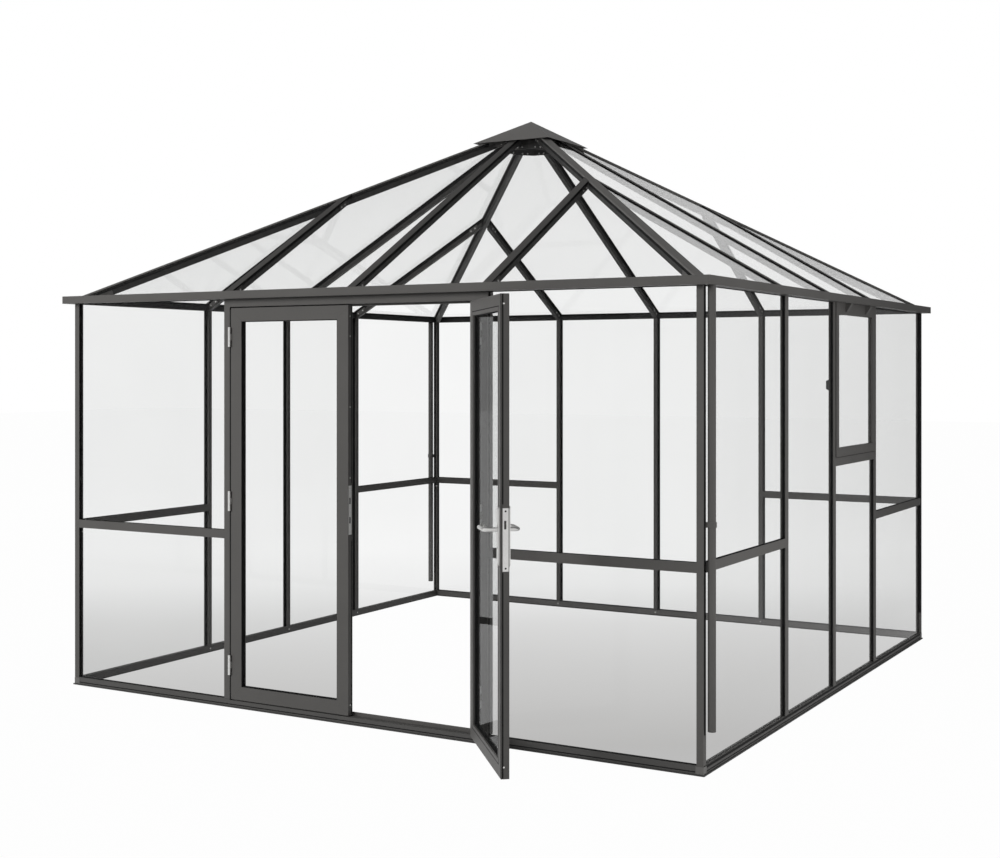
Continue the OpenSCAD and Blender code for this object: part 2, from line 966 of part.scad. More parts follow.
base_frame();
base_sills();
corner_posts();
wall_bars(1);  // right_wall_bars
wall_bars(2);  // back_wall_bars
wall_bars(3);  // left_wall_bars
mid_rails();
gutter(0);  // front_gutter
gutter(1);  // right_gutter
gutter(2);  // back_gutter
gutter(3);  // left_gutter
hip_bars();
roof_bars(0);  // front_roof_bars
roof_bars(1);  // right_roof_bars
roof_bars(2);  // back_roof_bars
roof_bars(3);  // left_roof_bars
crown_ring();
roof_cap();
wall_glass(0);  // front_wall_glass
wall_glass(1);  // right_wall_glass
wall_glass(2);  // back_wall_glass
wall_glass(3);  // left_wall_glass
roof_glass(0);  // front_roof_glass
roof_glass(1);  // right_roof_glass
roof_glass(2);  // back_roof_glass
roof_glass(3);  // left_roof_glass
door_jambs();
door_header();
door_threshold();
jamb_hinges();
vent_transom();
vent_sash();
vent_glass();
vent_hinges();
vent_catch();
downpipes();
pipe_clips();
left_leaf_frame();
left_leaf_glass();
left_leaf_hinges();
strike_plate();
right_leaf_frame();
right_leaf_glass();
right_leaf_hinges();
lock_plate();
handle_plates();
lever_handles();
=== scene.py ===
"""Looks of a glazed garden pavilion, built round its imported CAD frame."""

import math

import bmesh
import bpy
from mathutils import Matrix, Vector


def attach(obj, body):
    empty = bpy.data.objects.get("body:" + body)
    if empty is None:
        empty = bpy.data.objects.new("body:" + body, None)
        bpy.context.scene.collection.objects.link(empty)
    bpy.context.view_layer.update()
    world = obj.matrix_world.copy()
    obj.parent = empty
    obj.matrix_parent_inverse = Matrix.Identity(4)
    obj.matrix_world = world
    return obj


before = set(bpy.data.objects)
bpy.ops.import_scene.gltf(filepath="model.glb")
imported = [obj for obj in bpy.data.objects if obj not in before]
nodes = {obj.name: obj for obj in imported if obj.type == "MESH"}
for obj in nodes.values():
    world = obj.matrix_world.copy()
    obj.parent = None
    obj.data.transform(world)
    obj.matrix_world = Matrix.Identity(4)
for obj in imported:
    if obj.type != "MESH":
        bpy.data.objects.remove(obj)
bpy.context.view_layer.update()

MM = 0.001
ROOT2 = math.sqrt(2)

# Sizes in millimetres, as the CAD part has them
HALF = 1760.0  # middle of the plan to the walls' outer faces
WALL_D = 30.0
INNER = HALF - WALL_D
EAVE = 1992.0
SILL = 40.0
BAR = 735.0
BARS = (-BAR, 0.0, BAR)
GLASS_V = 11.0  # outer face of a wall pane, in from the wall's
GLASS_T = 4.0
GLASS_BACK = GLASS_V + GLASS_T
BITE = 7.0  # how deep a pane's edges sit in the grooves
DOOR_HALF = 749.0
DOOR_CLEAR = 714.0
PITCH = math.radians(30)
TAN_P = math.tan(PITCH)
COS_P = math.cos(PITCH)
ROOF_Z = EAVE + 33.0
ROOF_R = HALF + 4.0
ROOF_TOP = ROOF_Z + HALF * TAN_P
GLASS_DROP = 6.0  # upper face of a roof pane, under the roof bars' top plane
HIP_W = 44.0
HIP_WEB = 32.0
HUB_R = 130.0
HUB_WALL = 6.0
HUB_TOP = 2966.1
LEAF_X = DOOR_CLEAR - 8.0
LEAF_Z = 40.0
LEAF_W = 702.0
LEAF_H = 1908.0
LEAF_T = 34.0
LEAF_M = 65.0  # width of a leaf's stiles and rails
LEAF_G = (LEAF_T - GLASS_T) / 2
LEAF_BACK = LEAF_G + GLASS_T
PIVOT = Vector((710.0, -1768.0, 0.0))
OPEN = math.radians(131.0)
HANDLE = Vector((669.5, 0.0, 978.0))

# Gap that keeps a thin piece clear of the CAD face it lies on
OFF = 0.02


def about_z(degrees):
    """Turn about the upright axis in the middle of the plan."""
    return Matrix.Rotation(math.radians(degrees), 4, "Z")


def wall(i):
    """Places a piece on wall i: x along the wall, y inwards from its outer face, z up."""
    return about_z(90 * i) @ Matrix.Translation((0, -HALF, 0))


LEFT_LEAF = Matrix.Translation((-LEAF_X, -HALF, LEAF_Z))
SWING = Matrix.Translation(PIVOT) @ Matrix.Rotation(OPEN, 4, "Z") @ Matrix.Translation(-PIVOT)
RIGHT_LEAF = SWING @ Matrix.Scale(-1, 4, (1, 0, 0)) @ LEFT_LEAF


class Solid:
    """Collects simple closed forms, in millimetres, into one mesh."""

    def __init__(self):
        self.bm = bmesh.new()

    def loops(self, rings):
        """Skin over rings of points, with both ends filled."""
        made = [[self.bm.verts.new(p) for p in ring] for ring in rings]
        n = len(made[0])
        for a, b in zip(made, made[1:]):
            for k in range(n):
                self.bm.faces.new((a[k], a[(k + 1) % n], b[(k + 1) % n], b[k]))
        self.bm.faces.new(made[0][::-1])
        self.bm.faces.new(made[-1])

    def box(self, lo, hi, place=Matrix()):
        """Box between two corners."""
        (xa, ya, za), (xb, yb, zb) = lo, hi
        ring = [(xa, ya), (xb, ya), (xb, yb), (xa, yb)]
        self.loops([[place @ Vector((x, y, z)) for x, y in ring] for z in (za, zb)])

    def lathe(self, profile, place, sides):
        """Revolves (radius, height) pairs about the local z axis."""
        turns = [2 * math.pi * k / sides for k in range(sides)]
        self.loops([[place @ Vector((r * math.cos(a), r * math.sin(a), h)) for a in turns]
                    for r, h in profile])

    def bolt(self, place, at, toward, r=5.0, h=3.5):
        """Low round head with a rounded rim, at a point of a placed face that looks toward a direction."""
        look = (place.to_3x3() @ Vector(toward)).to_track_quat("Z", "Y").to_matrix().to_4x4()
        head = Matrix.Translation(place @ Vector(at)) @ look
        self.lathe([(r, 0), (r, 0.55 * h), (0.8 * r, 0.9 * h), (0.45 * r, h)], head, 12)

    def done(self, name, body, material, bevel=0.0, smooth=False):
        """Makes the collected forms into one piece that rides on a body."""
        bmesh.ops.recalc_face_normals(self.bm, faces=self.bm.faces)
        mesh = bpy.data.meshes.new(name)
        self.bm.to_mesh(mesh)
        self.bm.free()
        mesh.transform(Matrix.Scale(MM, 4))
        mesh.materials.append(material)
        if smooth:
            mesh.shade_smooth()
            mesh.set_sharp_from_angle(angle=math.radians(35))
        obj = bpy.data.objects.new(name, mesh)
        bpy.context.scene.collection.objects.link(obj)
        if bevel:
            soften(obj, bevel)
        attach(obj, body)


def soften(obj, width):
    """Rounds the hard edges a little, so that they catch the light."""
    mod = obj.modifiers.new("edges", "BEVEL")
    mod.width = width * MM
    mod.segments = 2
    mod.limit_method = "ANGLE"
    mod.angle_limit = math.radians(40)
    mod.harden_normals = True


# Materials


def feed(tree, value, socket):
    """Links an output to a socket, or sets the socket to a number, a grey where it is a colour."""
    if isinstance(value, float):
        socket.default_value = (value, value, value, 1) if socket.type == "RGBA" else value
    else:
        tree.links.new(value, socket)


def blend(tree, fac, a, b):
    """Colour that goes from a to b as fac goes from nought to one."""
    m = tree.nodes.new("ShaderNodeMix")
    m.data_type = "RGBA"
    m.clamp_factor = True
    feed(tree, fac, m.inputs["Factor"])
    feed(tree, a, m.inputs["A"])
    feed(tree, b, m.inputs["B"])
    return m.outputs["Result"]


def times(tree, a, b):
    """Product of two values."""
    m = tree.nodes.new("ShaderNodeMath")
    m.operation = "MULTIPLY"
    feed(tree, a, m.inputs[0])
    feed(tree, b, m.inputs[1])
    return m.outputs[0]


class Shader:
    """Small helper over one material's node tree."""

    def __init__(self, name):
        self.mat = bpy.data.materials.new(name)
        self.mat.use_nodes = True
        self.tree = self.mat.node_tree
        self.bsdf = self.tree.nodes["Principled BSDF"]
        self.out = self.tree.nodes["Material Output"]

    def node(self, kind, **values):
        n = self.tree.nodes.new(kind)
        for k, v in values.items():
            setattr(n, k, v)
        return n

    def link(self, a, b):
        self.tree.links.new(a, b)

    def coords(self, stretch=(1, 1, 1)):
        tex = self.node("ShaderNodeTexCoord")
        mapping = self.node("ShaderNodeMapping")
        mapping.inputs["Scale"].default_value = stretch
        self.link(tex.outputs["Object"], mapping.inputs["Vector"])
        return mapping.outputs["Vector"]

    def noise(self, vector, scale, detail, rough=0.55):
        n = self.node("ShaderNodeTexNoise")
        n.inputs["Scale"].default_value = scale
        n.inputs["Detail"].default_value = detail
        n.inputs["Roughness"].default_value = rough
        self.link(vector, n.inputs["Vector"])
        return n.outputs["Fac"]

    def ramp(self, fac, stops):
        """Colour ramp over (position, colour or grey) stops."""
        r = self.node("ShaderNodeValToRGB")
        el = r.color_ramp.elements
        while len(el) < len(stops):
            el.new(0.5)
        for e, (pos, col) in zip(el, stops):
            e.position = pos
            e.color = (*col, 1) if isinstance(col, tuple) else (col, col, col, 1)
        self.link(fac, r.inputs["Fac"])
        return r.outputs["Color"]

    def multiply(self, fac, a, b):
        m = self.node("ShaderNodeMix", data_type="RGBA", blend_type="MULTIPLY")
        m.inputs["Factor"].default_value = fac
        self.link(a, m.inputs["A"])
        self.link(b, m.inputs["B"])
        return m.outputs["Result"]

    def span(self, value, lo, hi, frm=(0.3, 0.7)):
        """Maps the range frm of a value onto lo to hi."""
        m = self.node("ShaderNodeMapRange")
        m.inputs["From Min"].default_value = frm[0]
        m.inputs["From Max"].default_value = frm[1]
        m.inputs["To Min"].default_value = lo
        m.inputs["To Max"].default_value = hi
        self.link(value, m.inputs["Value"])
        return m.outputs["Result"]

    def bump(self, height, strength, distance):
        b = self.node("ShaderNodeBump")
        b.inputs["Strength"].default_value = strength
        b.inputs["Distance"].default_value = distance
        self.link(height, b.inputs["Height"])
        self.link(b.outputs["Normal"], self.bsdf.inputs["Normal"])

    def either(self, fac, other):
        """Shows the other shader in place of the principled one where fac is one."""
        pick = self.node("ShaderNodeMixShader")
        self.link(fac, pick.inputs["Fac"])
        self.link(self.bsdf.outputs["BSDF"], pick.inputs[1])
        self.link(other, pick.inputs[2])
        self.link(pick.outputs["Shader"], self.out.inputs["Surface"])

    def set(self, **values):
        for k, v in values.items():
            self.bsdf.inputs[k.replace("_", " ")].default_value = v


def tint(colour, k):
    return tuple(min(1.0, c * k) for c in colour)


def coating(name, colour, rough=0.5, spec=0.3):
    """Powder coat: soft clouds of tone, a fine orange-peel grain and faint dust in the grain."""
    s = Shader(name)
    at = s.coords()
    cloud = s.noise(at, 2.6, 4.0)
    grain = s.noise(at, 620.0, 2.0)
    base = s.ramp(cloud, [(0.32, tint(colour, 0.93)), (0.68, tint(colour, 1.07))])
    speck = s.ramp(grain, [(0.35, 0.86), (0.65, 1.0)])
    s.link(s.multiply(0.55, base, speck), s.bsdf.inputs["Base Color"])
    s.link(s.span(grain, rough - 0.06, rough + 0.07), s.bsdf.inputs["Roughness"])
    s.bump(grain, 0.22, 0.0004)
    s.set(Specular_IOR_Level=spec)
    return s.mat


def rubber(name, colour):
    """Black sealing rubber with a dull, slightly uneven skin; it also serves as painted shade."""
    s = Shader(name)
    skin = s.noise(s.coords(), 260.0, 3.0)
    base = s.ramp(skin, [(0.3, tint(colour, 0.7)), (0.7, tint(colour, 1.5))])
    s.link(base, s.bsdf.inputs["Base Color"])
    s.link(s.span(skin, 0.62, 0.8), s.bsdf.inputs["Roughness"])
    s.bump(skin, 0.2, 0.0003)
    s.set(Specular_IOR_Level=0.16)
    return s.mat


def satin(name, colour, rough=0.3, stretch=(40, 40, 2), wear=0.1, metal=0.8):
    """Brushed stainless steel: fine strokes along the piece and a few duller patches."""
    s = Shader(name)
    strokes = s.noise(s.coords(stretch), 60.0, 4.0, 0.7)
    patch = s.noise(s.coords(), 14.0, 3.0)
    base = s.ramp(strokes, [(0.3, tint(colour, 0.88)), (0.7, tint(colour, 1.06))])
    dull = s.ramp(patch, [(0.35, 1.0 - wear), (0.65, 1.0)])
    s.link(s.multiply(1.0, base, dull), s.bsdf.inputs["Base Color"])
    s.link(s.span(strokes, rough - 0.05, rough + 0.09), s.bsdf.inputs["Roughness"])
    s.bump(strokes, 0.1, 0.0002)
    s.set(Metallic=metal)
    return s.mat


def glazing(name, colour, shade=0.79, ior=1.14):
    """Clear float glass with a breath of unevenness; shade is the part of the light each face lets by."""
    s = Shader(name)
    haze = s.noise(s.coords(), 1.7, 2.0)
    base = s.ramp(haze, [(0.3, tint(colour, 0.992)), (0.7, tint(colour, 1.004))])
    s.link(base, s.bsdf.inputs["Base Color"])
    s.set(Transmission_Weight=1.0, Roughness=0.0, IOR=ior)
    path = s.node("ShaderNodeLightPath")
    clear = s.node("ShaderNodeBsdfTransparent")
    clear.inputs["Color"].default_value = (shade, shade, shade, 1)
    s.either(path.outputs["Is Shadow Ray"], clear.outputs["BSDF"])
    return s.mat


GREY = coating("grey_coating", (0.098, 0.095, 0.091))
# Darker copy of the grey coating, for the roof bars and the crown ring: painted shade
ROOF_SHADED = coating("roof_coating_painted_shade", (0.066, 0.064, 0.062))
# Lighter copy of the grey coating, for the roof cap, the hips, the back sill's inner face and the posts'
# sleeves: painted light
LIT_GREY = coating("lit_grey_coating", (0.150, 0.146, 0.141), 0.46)
# Slightly darker copy of the grey coating, for the sills: painted shade
SILLS_SHADED = coating("sill_coating_painted_shade", (0.086, 0.084, 0.081))
# Much darker copy of the grey coating, for the base frame: painted shade
BASE_SHADED = coating("base_coating_painted_shade", (0.050, 0.049, 0.048))
# Near-black coating for the vent catch, also used as painted shade on the eave beams' inner faces
DARK_FITTING_AND_SHADE = coating("dark_fitting_and_painted_shade", (0.030, 0.030, 0.030), 0.55, 0.2)
# Dark coating of the sheets on the hips' sides: painted shade
HIP_SHADE_COAT = coating("hip_shade_coating", (0.045, 0.044, 0.043))
# Black rubber: the real seals, and also painted shade in holes, grooves and gaps
SEAL_AND_SHADE = rubber("black_seal_and_painted_shade", (0.011, 0.011, 0.011))
STEEL = satin("satin_steel", (0.80, 0.795, 0.78))
BRIGHT = satin("bright_fixings", (0.86, 0.85, 0.83), 0.24, (90, 90, 90), 0.2, 0.45)
WALL_GLASS = glazing("wall_glass", (0.925, 0.928, 0.926))
ROOF_GLASS = glazing("roof_glass", (0.942, 0.945, 0.943))
LEAF_GLASS = glazing("door_glass", (0.933, 0.936, 0.934), 0.95, 1.045)

HINGES = ("jamb_hinges", "left_leaf_hinges", "right_leaf_hinges")
STEEL_NODES = (*HINGES, "strike_plate", "lock_plate", "handle_plates", "lever_handles")
COATS = {"roof_cap": LIT_GREY, "hip_bars": LIT_GREY, "vent_catch": DARK_FITTING_AND_SHADE, "crown_ring": ROOF_SHADED,
         "base_sills": SILLS_SHADED, "base_frame": BASE_SHADED}


def finish_of(name):
    """Material of a CAD node."""
    if name.endswith("glass"):
        return LEAF_GLASS if "leaf" in name else ROOF_GLASS if "roof" in name else WALL_GLASS
    if name in STEEL_NODES:
        return STEEL
    if name.endswith("roof_bars"):
        return ROOF_SHADED
    return COATS.get(name, GREY)


for name, obj in nodes.items():
    obj.data.materials.clear()
    obj.data.materials.append(finish_of(name))
    if not name.endswith("glass") and name not in HINGES:
        soften(obj, 0.7)


# Seals round the wall panes

NEAR = 2.0  # an edge this close to a line of the frame lies on it
CHANNEL_D = 10.5  # depth of the seal in the channel beside a side wall's posts
FOOT_TOP = 164.0  # top of the grey foot of that channel
GASKET_T = 3.5
# For each kind of edge: how far the outer strip goes past the sight line and into view, and its outer depth
OUTER = {"bar": (6, 5, 3.2), "rail": (6, -1.5, 3.2), "post": (6, -1.5, 3.2),
         "channel": (23.7, 0.5, 0.8), "lip": (0, 3, 6.0), "sill": (0, -0.5, 9.0)}
# The same two reaches of the inner strip
INSIDE = {"bar": (1.9, 1.5), "rail": (1.9, 1.5), "post": (0, 2.5),
          "channel": (0, 2.5), "lip": (0, 2.5), "sill": (1.5, -0.5)}


def islands(obj):
    """Point sets of the separate solids in a CAD node, in millimetres."""
    key = {}
    parent = {}

    def root(a):
        while parent[a] != a:
            parent[a] = parent[parent[a]]
            a = parent[a]
        return a

    # Points are told apart to a hundredth of a millimetre
    for v in obj.data.vertices:
        key[v.index] = tuple(round(c * 1e5) for c in v.co)
        parent.setdefault(key[v.index], key[v.index])
    for p in obj.data.polygons:
        first = root(key[p.vertices[0]])
        for k in p.vertices:
            parent[root(key[k])] = first
    groups = {}
    for k in parent:
        groups.setdefault(root(k), []).append(Vector(k) / 100.0)
    return list(groups.values())


def side_kind(i, u):
    """What holds the upright edge of a pane at u on wall i."""
    if abs(abs(u) - INNER) < NEAR:
        return "channel" if i % 2 else "post"
    if i == 0 and abs(abs(u) - DOOR_HALF) < NEAR:
        return "lip"
    return "bar"


def level_kind(i, z):
    """What holds the level edge of a pane at height z on wall i."""
    if abs(z - SILL) < NEAR:
        return "sill" if i % 2 else "lip"
    return "lip" if abs(z - EAVE) < NEAR else "rail"


feet = Solid()
for i, side in enumerate(("front", "right", "back", "left")):
    place = wall(i)
    back = place.inverted()
    seals = Solid()
    for points in islands(nodes[side + "_wall_glass"]):
        local = [back @ p for p in points]
        ua, ub = min(p.x for p in local) + BITE, max(p.x for p in local) - BITE
        za, zb = min(p.z for p in local) + BITE, max(p.z for p in local) - BITE
        kinds = side_kind(i, ua), side_kind(i, ub), level_kind(i, za), level_kind(i, zb)
        on_sill = kinds[2] == "sill"
        left, right, low, top = (OUTER[k] for k in kinds)
        face = GLASS_V - OFF
        for at, way, kind in ((ua, -1, kinds[0]), (ub, 1, kinds[1])):
            past, shown, start = OUTER[kind]
            foot, deep = za - low[0], face
            if kind == "channel":
                foot, deep = max(foot, FOOT_TOP), CHANNEL_D
            ends = sorted((at + way * past, at - way * shown))
            seals.box((ends[0], start, foot), (ends[1], deep, zb + top[0]), place)
            if foot > za:
                feet.box((ends[0], OFF, za - low[0]), (ends[1], deep, foot), place)
        if not on_sill:
            seals.box((ua + left[1], low[2], za - low[0]), (ub - right[1], face, za + low[1]), place)
        seals.box((ua + left[1], top[2], zb - top[1]), (ub - right[1], face, zb + top[0]), place)
        left, right, low, top = (INSIDE[k] for k in kinds)
        near, far = GLASS_BACK + OFF, GLASS_BACK + GASKET_T
        seals.box((ua - left[0], near, za - low[0]), (ua + left[1], far, zb + top[0]), place)
        seals.box((ub - right[1], near, za - low[0]), (ub + right[0], far, zb + top[0]), place)
        if not on_sill:
            seals.box((ua + left[1], near, za - low[0]), (ub - right[1], far, za + low[1]), place)
        seals.box((ua + left[1], near, zb - top[1]), (ub - right[1], far, zb + top[0]), place)
    seals.done(side + "_wall_seals", "pavilion", SEAL_AND_SHADE)
feet.done("post_feet", "pavilion", GREY, bevel=0.4)


# Seals of the roof panes: under the cover strips, whose black lines along the covers' edges are partly
# painted shade, beside the roof bars and along the hips

BAR_SIDE = 13.05  # just clear of a roof bar's side
UNDER_GLASS = GLASS_DROP + GLASS_T + 0.6
COVER_SEAL = (7.0, 20.0)  # reach to either side of a roof bar's middle
COVER_SEAL_D = (GLASS_DROP - 0.05, 3.2)
SIDE_SEAL = (BAR_SIDE, 14.2)
SIDE_SEAL_D = (UNDER_GLASS + 11, UNDER_GLASS)
HIP_SEAL = (HIP_WEB / 2 - 3, HIP_WEB / 2 + 1.2)  # reach to either side of a hip's middle
HIP_SEAL_D = (UNDER_GLASS + 14, UNDER_GLASS)
HIP_SEAL_RUN = (190.0, INNER - 8)


def on_slope(x, r, d):
    """Point of the front slope, x along the eave, r out from the middle, d under the bars' top plane."""
    return Vector((x, -r, ROOF_Z + (HALF - r) * TAN_P - d / COS_P))


def slope_slab(solid, i, plan, depths):
    """Slab of slope i over a plan of (x, r) points, from one depth to another."""
    turn = about_z(90 * i)
    solid.loops([[turn @ on_slope(x, r, d) for x, r in plan] for d in depths])


def bar_seal(i, u, xs, eave, hub_gap, hip_gap, depths):
    """Strip along the roof bar at u, from the eave to the crown ring or, beside a short bar, to the hip."""
    ends = [HUB_R + hub_gap if u == 0 else abs(x) + HIP_W / ROOT2 + hip_gap for x in xs]
    plan = [(xs[0], eave), (xs[1], eave), (xs[1], ends[1]), (xs[0], ends[0])]
    slope_slab(roof_seals_and_shade, i, plan, depths)


roof_seals_and_shade = Solid()
for i in range(4):
    for u in BARS:
        for sx in (-1, 1):
            bar_seal(i, u, [u + sx * s for s in COVER_SEAL], ROOF_R - 1, 1, 0, COVER_SEAL_D)
            bar_seal(i, u, [u + sx * s for s in SIDE_SEAL], INNER - 2, 9, 4, SIDE_SEAL_D)
    for sx in (-1, 1):
        near, far = (s * ROOT2 for s in HIP_SEAL)
        ra, rb = HIP_SEAL_RUN
        plan = [(ra - near, ra), (rb - near, rb), (rb - far, rb), (ra - far, ra)]
        slope_slab(roof_seals_and_shade, i, [(sx * x, r) for x, r in plan], HIP_SEAL_D)
roof_seals_and_shade.done("roof_seals_and_shade", "pavilion", SEAL_AND_SHADE)


# Painted shade on the sides of the hips, as thin dark sheets, and bolts at their upper ends

HIP_SHADE_SECTION = ((14.8, -32), (12.3, -59.5), (11, -59.5), (13, -32))
HIP_SHADE_RUN = (245, 2500)
HIP_BOLTS = ((182, -28), (182, -47), (212, -28), (212, -47))
HIP_LEAN = 0.093  # how fast a hip's web narrows under its shoulder
HIP_SHOULDER = -17


def hip(i):
    """Places a piece on hip i: x down the hip from the apex, y level across it, z out of the roof."""
    fall = Matrix.Rotation(math.atan(TAN_P / ROOT2), 4, "Y")
    return Matrix.Translation((0, 0, ROOF_TOP)) @ about_z(90 * i - 45) @ fall


hip_shade = Solid()
hip_bolts = Solid()
for i in range(4):
    place = hip(i)
    for sy in (-1, 1):
        hip_shade.loops([[place @ Vector((x, sy * y, z)) for y, z in HIP_SHADE_SECTION] for x in HIP_SHADE_RUN])
        for x, z in HIP_BOLTS:
            y = HIP_WEB / 2 + (z - HIP_SHOULDER) * HIP_LEAN
            hip_bolts.bolt(place, (x, sy * y, z), (0, sy, 0), 4.5, 4.5)
hip_shade.done("hip_painted_shade", "pavilion", HIP_SHADE_COAT)
hip_bolts.done("hip_bolts", "pavilion", BRIGHT, smooth=True)


# Black bands: seals on the side sills; painted shade in the sills' grooves and in the gaps round the vent;
# on the eave beams' inner faces partly seal, partly painted shade

STRIP_HALF = INNER - 1
EAVE_BAND = (EAVE + 26, EAVE + 38)
SILL_BAND = (27.0, 38.0)
SILL_GROOVE = (12.1, 16.9)
VENT_LOW, VENT_HIGH = 1200.0, 1978.0
VENT_SIDES = ((13.1, 22.0), (713.0, 721.9))
VENT_V = (22.1, 25.0)


def strip(solid, i, depths, heights):
    """Strip along the whole of wall i, between its posts."""
    (va, vb), (za, zb) = depths, heights
    solid.box((-STRIP_HALF, va, za), (STRIP_HALF, vb, zb), wall(i))


bands = Solid()
for i in range(4):
    strip(bands, i, (WALL_D + OFF, WALL_D + 0.5), EAVE_BAND)
    if i % 2:
        strip(bands, i, (-0.3, 0.0), SILL_BAND)
    strip(bands, i, (0.1, 1.98), SILL_GROOVE)
for ua, ub in VENT_SIDES:
    bands.box((ua, VENT_V[0], VENT_LOW), (ub, VENT_V[1], VENT_HIGH), wall(1))
ua, ub = VENT_SIDES[0][1], VENT_SIDES[1][0]
bands.box((ua, VENT_V[0], VENT_LOW - 3), (ub, VENT_V[1], VENT_LOW + 4), wall(1))
bands.done("dark_bands", "pavilion", SEAL_AND_SHADE)


# Thin sheets: dark ones on the inner faces of the eave beams, painted shade, and a light one on the back
# sill's inner face, painted light

SHEET_V = (WALL_D + OFF, WALL_D + 0.4)
eave_painted_shade = Solid()
for i in range(4):
    strip(eave_painted_shade, i, SHEET_V, (EAVE + 1, EAVE_BAND[0]))
eave_painted_shade.done("eave_painted_shade", "pavilion", DARK_FITTING_AND_SHADE)
back_sill_painted_light = Solid()
strip(back_sill_painted_light, 2, SHEET_V, (8.0, 38.0))
back_sill_painted_light.done("back_sill_painted_light", "pavilion", LIT_GREY)


# Door leaves: painted shade on the flanks of the glass opening, its gasket, bead joint, black strips at the
# free edge, among them painted shade in its groove, and screws

LINE_T = 0.2  # thickness of the dark lines on a leaf's faces
FLANK_SHADE_W = 1.6
FLANK_SHADE_D = 7
GASKET_W = 3.5
GASKET_D = 4
JOINT_M = LEAF_M - 19  # joint of the glazing bead
JOINT_W = 4.0
END = 2  # the edge seals stop this far from a leaf's top and bottom
LOCK_SPAN = (810, 1080)  # the edge seal leaves out the lock's plates
# The first and fourth rings are painted shade on the flanks of the glass opening, the second and third the
# gaskets, the last the bead joint
# Start of each ring in from the leaf's edges, its width and its two depths
LEAF_RINGS = ((LEAF_M, FLANK_SHADE_W, 1.0, LEAF_G - GASKET_D),
              (LEAF_M, GASKET_W, LEAF_G - GASKET_D, LEAF_G - OFF),
              (LEAF_M, GASKET_W, LEAF_BACK + OFF, LEAF_BACK + GASKET_D),
              (LEAF_M, FLANK_SHADE_W, LEAF_BACK + GASKET_D, LEAF_BACK + FLANK_SHADE_D),
              (JOINT_M, JOINT_W, LEAF_T + OFF, LEAF_T + LINE_T))
# Depth and height of the screws in the leaf's free edge
SCREWS = {"left": ((15, 1857), (15, 1764), (15, 1434), (15, 1104), (15, 47)),
          "right": ((22, 47), (22, 1868))}


def leaf_ring(solid, place, m, t, low, high):
    """Rectangular band that starts m in from a leaf's edges and is t wide, from depth low to high."""
    right, top = LEAF_W - m, LEAF_H - m
    solid.box((m, low, m), (m + t, high, top), place)
    solid.box((right - t, low, m), (right, high, top), place)
    solid.box((m + t, low, m), (right - t, high, m + t), place)
    solid.box((m + t, low, top - t), (right - t, high, top), place)


for name, place in (("left", LEFT_LEAF), ("right", RIGHT_LEAF)):
    seals = Solid()
    for m, t, low, high in LEAF_RINGS:
        leaf_ring(seals, place, m, t, low, high)
    top = LEAF_H - END
    seals.box((LEAF_W - 11, LEAF_T + OFF, END), (LEAF_W - 2, LEAF_T + LINE_T, top), place)
    # Painted shade in the groove of the free edge
    seals.box((LEAF_W - 3.9, 28.1, END), (LEAF_W - 1.2, 30.4, top), place)
    for za, zb in ((END, LOCK_SPAN[0]), (LOCK_SPAN[1], top)):
        seals.box((LEAF_W + OFF, 24.0, za), (LEAF_W + LINE_T, 28.0, zb), place)
    seals.done(name + "_leaf_seals_and_shade", name + "_leaf", SEAL_AND_SHADE)
    screws = Solid()
    for v, z in SCREWS[name]:
        screws.bolt(place, (LEAF_W, v, z), (1, 0, 0), 3.6, 1.2)
    screws.done(name + "_edge_screws", name + "_leaf", BRIGHT, smooth=True)


# Seals on the inner faces of the jambs, in the gap beside each closed leaf

JAMB_SEAL_X = (LEAF_X + 1.6, DOOR_CLEAR - OFF)
JAMB_SEAL_V = (1.5, 28.0)
JAMB_SEAL_Z = (LEAF_Z + 10, LEAF_Z + LEAF_H - 10)
jamb_seals = Solid()
for sx in (-1, 1):
    xa, xb = sorted(sx * x for x in JAMB_SEAL_X)
    (va, vb), (za, zb) = JAMB_SEAL_V, JAMB_SEAL_Z
    jamb_seals.box((xa, va, za), (xb, vb, zb), wall(0))
jamb_seals.done("jamb_seals", "pavilion", SEAL_AND_SHADE)


# Lock: black screw heads and black in the latch slot, keyholes and strike holes, all painted shade; bright
# latch; handle plates: key cylinders and screws

PLATE_FACE = LEAF_W - 2.9  # face of the lock and strike plates in their recesses
PLATE_MID = 15
LOCK_SCREWS_Z = (827, 1052)
STRIKE_SCREWS_Z = (852, 1056)
STRIKE_HOLES_Z = (892, 982)
CYLINDER_Z = HANDLE.z - 72
KEYHOLE = 0.9  # half width and depth of the slot in a key cylinder
KEYHOLE_H = 8
HANDLE_SCREWS_Z = (HANDLE.z + 82, HANDLE.z - 138)
# Slot and latch in the lock plate: two depths, two heights and how far each stands out of the plate
SLOT = ((13.6, 20.6), (981.2, 1014.8), 3.3)
LATCH = ((8.8, 13.5), (982.4, 1013.6), 3.6)
# Depth of each handle plate's face and the way it looks
HANDLE_FACES = ((-8.0, -1), (42.0, 1))


def on_plate(solid, place, depths, heights, out):
    """Block on a leaf's lock or strike plate."""
    (va, vb), (za, zb) = depths, heights
    solid.box((PLATE_FACE, va, za), (PLATE_FACE + out, vb, zb), place)


